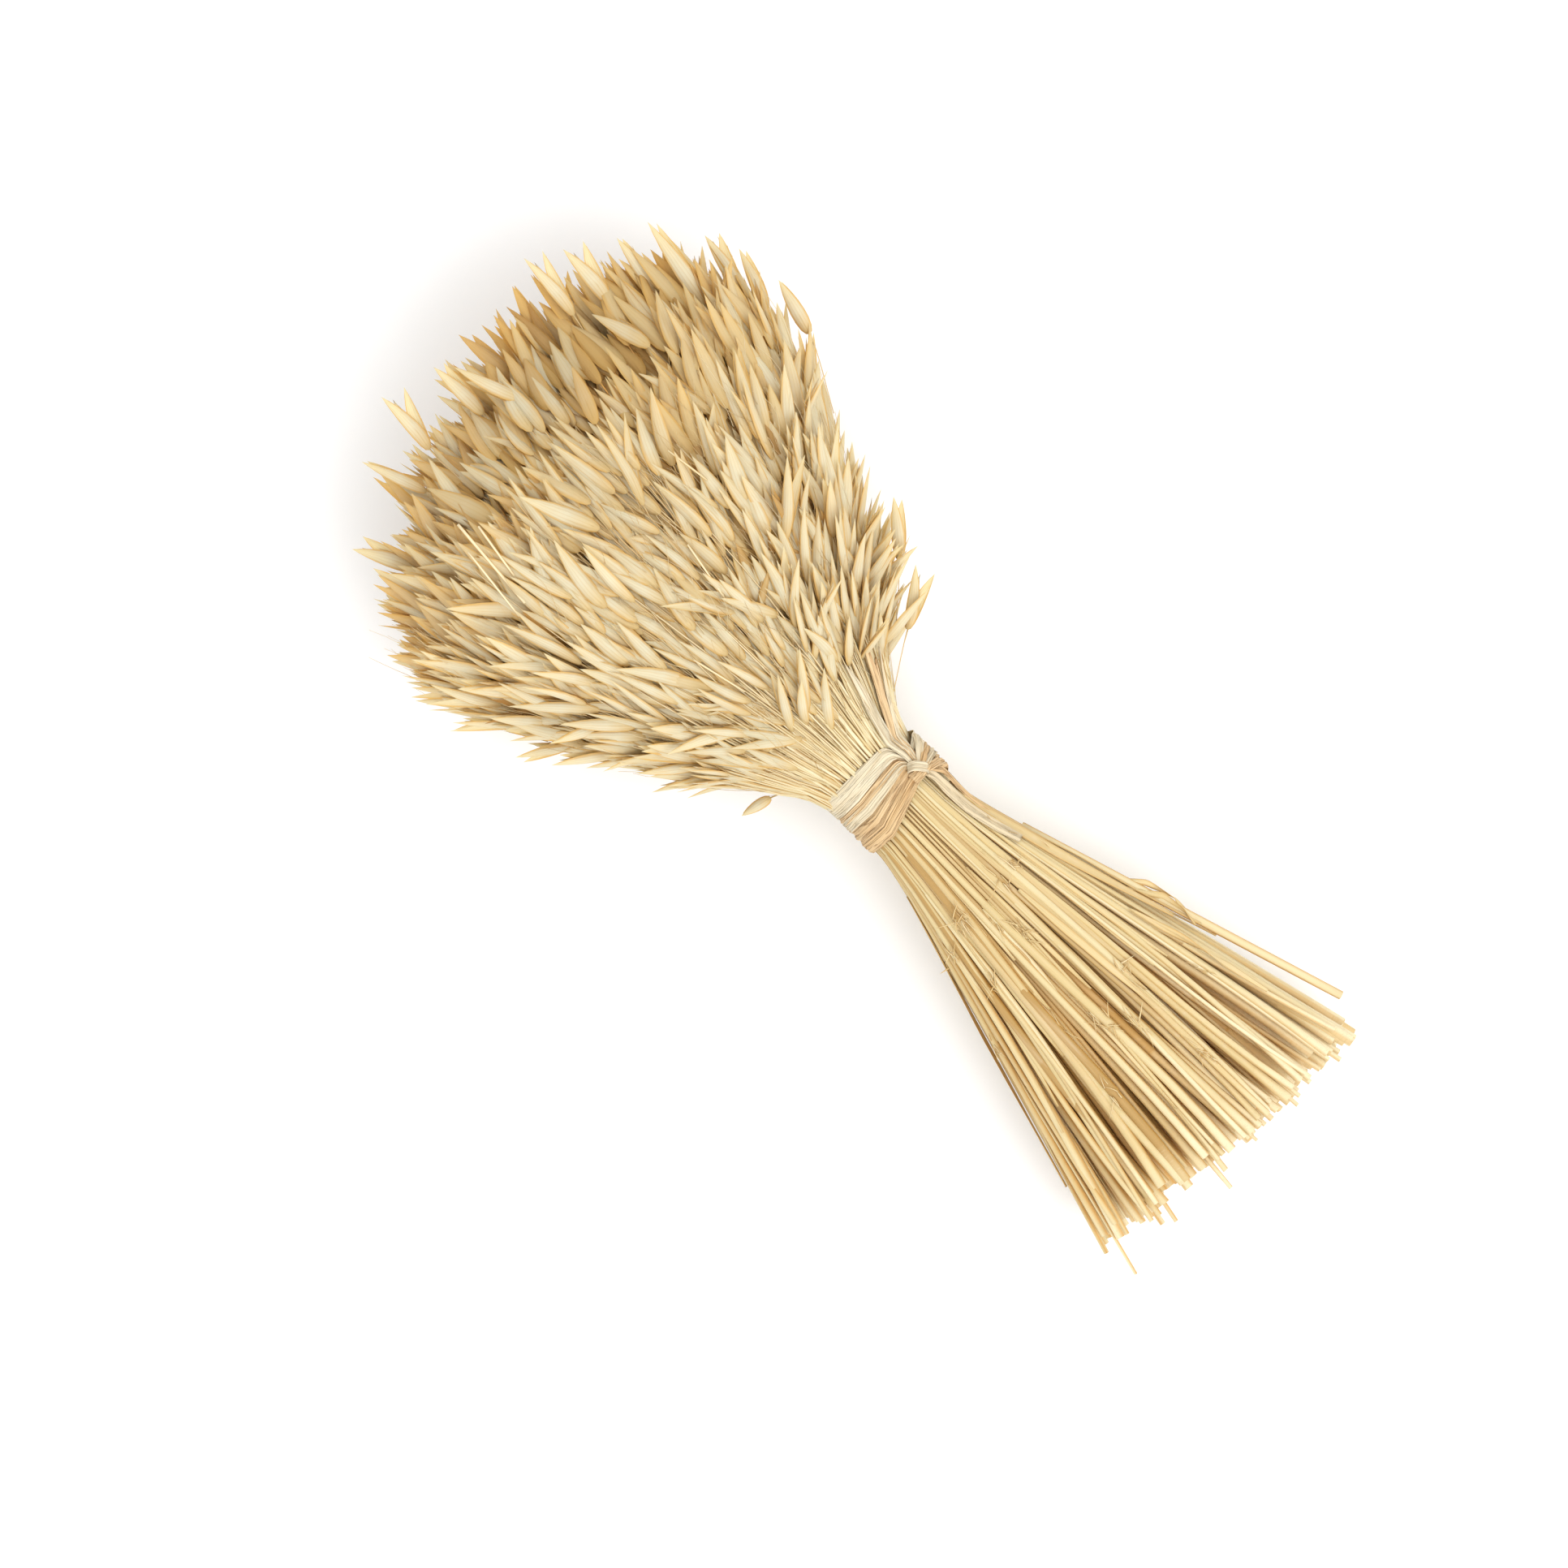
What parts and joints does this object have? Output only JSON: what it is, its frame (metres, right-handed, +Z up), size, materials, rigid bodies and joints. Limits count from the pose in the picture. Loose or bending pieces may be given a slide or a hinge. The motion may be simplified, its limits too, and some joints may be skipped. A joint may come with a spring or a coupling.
{
  "type": "bundle of dried oats",
  "caption": "Bundle of dried oat stalks with a broad head of papery spikelets and fanned cut ends, tied at the waist with raffia and lying on its side.",
  "frame": {"origin": "on the surface that the bundle lies on, under the middle of its box", "axes": "+X along the bundle from the cut straws to the tips of the heads, +Y across it, +Z up"},
  "size_m": [0.4472, 0.204, 0.1375],
  "materials": {
    "dried_oat": "dry, papery, matte",
    "raffia_pale": "dry plant fibre, matte",
    "raffia_tan": "dry plant fibre, matte"
  },
  "bodies": {
    "root": {"oat_strand_outer_01": "dried_oat", "oat_strand_outer_02": "dried_oat", "oat_strand_outer_03": "dried_oat", "oat_strand_outer_04": "dried_oat", "oat_strand_outer_05": "dried_oat", "oat_strand_outer_06": "dried_oat", "oat_strand_outer_07": "dried_oat", "oat_strand_outer_08": "dried_oat", "oat_strand_outer_09": "dried_oat", "oat_strand_outer_10": "dried_oat", "oat_strand_outer_11": "dried_oat", "oat_strand_outer_12": "dried_oat", "oat_strand_outer_13": "dried_oat", "oat_strand_outer_14": "dried_oat", "oat_strand_outer_15": "dried_oat", "oat_strand_outer_16": "dried_oat", "oat_strand_middle_01": "dried_oat", "oat_strand_middle_02": "dried_oat", "oat_strand_middle_03": "dried_oat", "oat_strand_middle_04": "dried_oat", "oat_strand_middle_05": "dried_oat", "oat_strand_middle_06": "dried_oat", "oat_strand_middle_07": "dried_oat", "oat_strand_middle_08": "dried_oat", "oat_strand_heart_01": "dried_oat", "oat_strand_heart_02": "dried_oat", "oat_strand_heart_03": "dried_oat", "oat_strand_heart_04": "dried_oat", "raffia_ribbon_pale": "raffia_pale", "raffia_ribbon_tan": "raffia_tan"}
  },
  "joints": []
}
